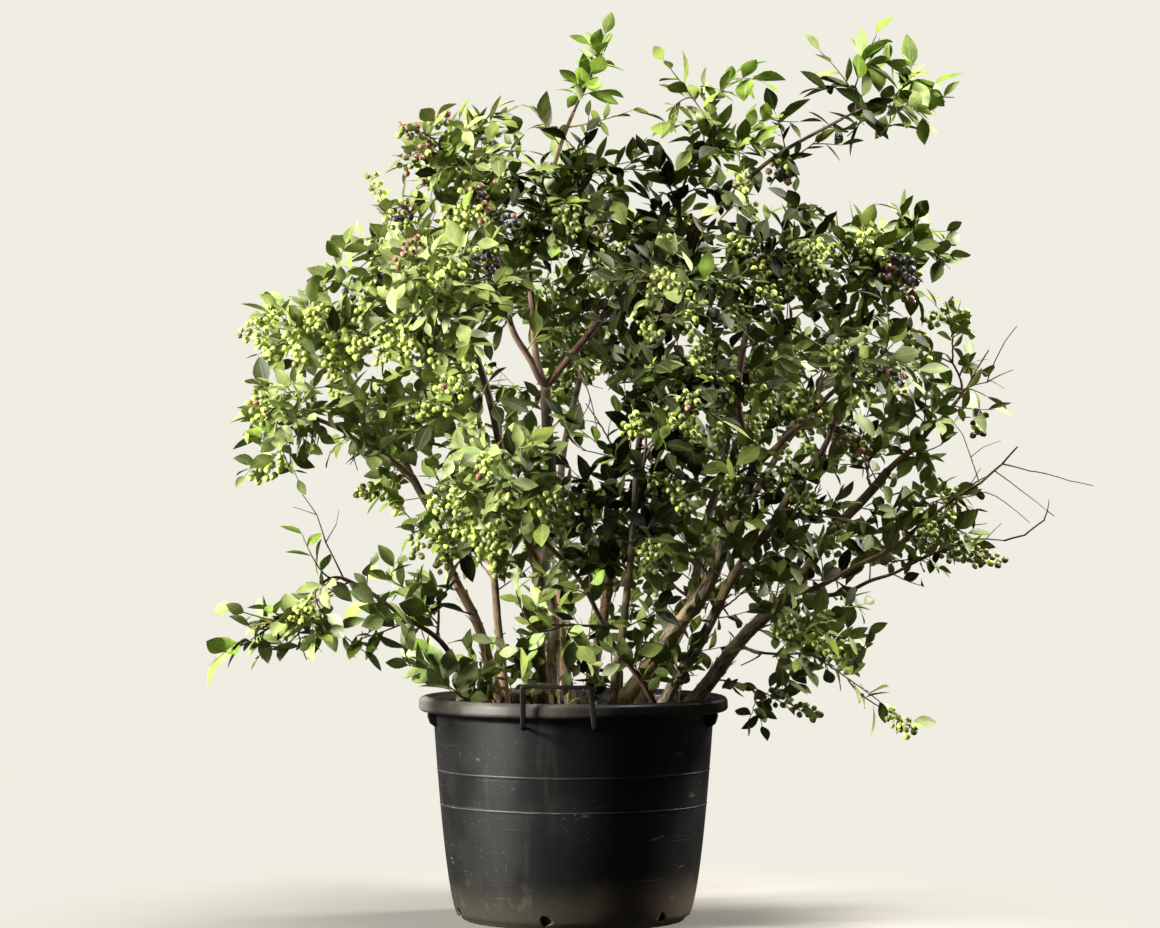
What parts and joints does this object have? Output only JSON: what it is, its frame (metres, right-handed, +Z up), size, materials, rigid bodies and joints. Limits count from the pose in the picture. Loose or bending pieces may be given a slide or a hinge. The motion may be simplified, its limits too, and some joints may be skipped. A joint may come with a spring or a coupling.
{
  "type": "potted blueberry bush",
  "caption": "Open, many-stemmed blueberry bush with berries, rooted in a round black plastic nursery pot with two flat bail handles.",
  "frame": {"origin": "middle of the pot's flat underside, which stands on the floor", "axes": "+Z up the pot's axis; -Y towards the front, where the near handle is; +X to the right seen from the front"},
  "size_m": [1.4026, 1.0387, 1.4812],
  "materials": {
    "pot_plastic": "satin black moulded plastic, dusty and scuffed",
    "potting_mix": "matte crumbly bark mix",
    "old_bark": "matte grey-brown bark that peels in strips",
    "young_bark": "matte smooth reddish-brown young bark",
    "foliage": "matte green leaves, twigs and unripe berries"
  },
  "bodies": {
    "root": {"pot": "pot_plastic", "soil": "potting_mix", "handle_front": "pot_plastic", "handle_back": "pot_plastic", "stem_low_left": "old_bark", "stem_left": "old_bark", "stem_left_upright": "old_bark", "stem_peeling": "old_bark", "stem_fork": "old_bark", "stem_centre": "old_bark", "stem_leaning": "old_bark", "stem_leaning_twin": "old_bark", "stem_mid_right": "old_bark", "stem_far_right": "old_bark", "stem_crossing": "old_bark", "stem_front": "old_bark", "stem_back": "old_bark", "stem_back_right": "old_bark", "bough_left_low": "young_bark", "bough_left_mid": "young_bark", "bough_left_upper": "young_bark", "bough_fork_left": "young_bark", "bough_fork_middle": "young_bark", "bough_fork_right": "young_bark", "bough_mast": "young_bark", "bough_right_fork": "young_bark", "bough_right_upper": "young_bark", "bough_right_tip": "young_bark", "bough_right_level": "young_bark", "bough_right_low": "young_bark", "foliage_low_left": "foliage", "foliage_low_left_inner": "foliage", "foliage_left_tip": "foliage", "foliage_left_shoulder": "foliage", "foliage_left_upper": "foliage", "foliage_left_front": "foliage", "foliage_crown_left": "foliage", "foliage_crown_middle": "foliage", "foliage_top_shoot": "foliage", "foliage_top_middle": "foliage", "foliage_top_right": "foliage", "foliage_mast_top": "foliage", "foliage_right_upper": "foliage", "foliage_right_front": "foliage", "foliage_right_tip": "foliage", "foliage_right_middle": "foliage", "foliage_right_level": "foliage", "foliage_right_low": "foliage", "foliage_droop": "foliage", "foliage_centre_back": "foliage", "foliage_centre_right": "foliage", "foliage_back_left": "foliage", "foliage_back_right": "foliage", "foliage_low_back": "foliage", "foliage_front_left": "foliage", "foliage_front_middle": "foliage", "foliage_front_upper": "foliage", "foliage_left_inner": "foliage", "foliage_low_front": "foliage", "foliage_right_inner": "foliage"}
  },
  "joints": []
}
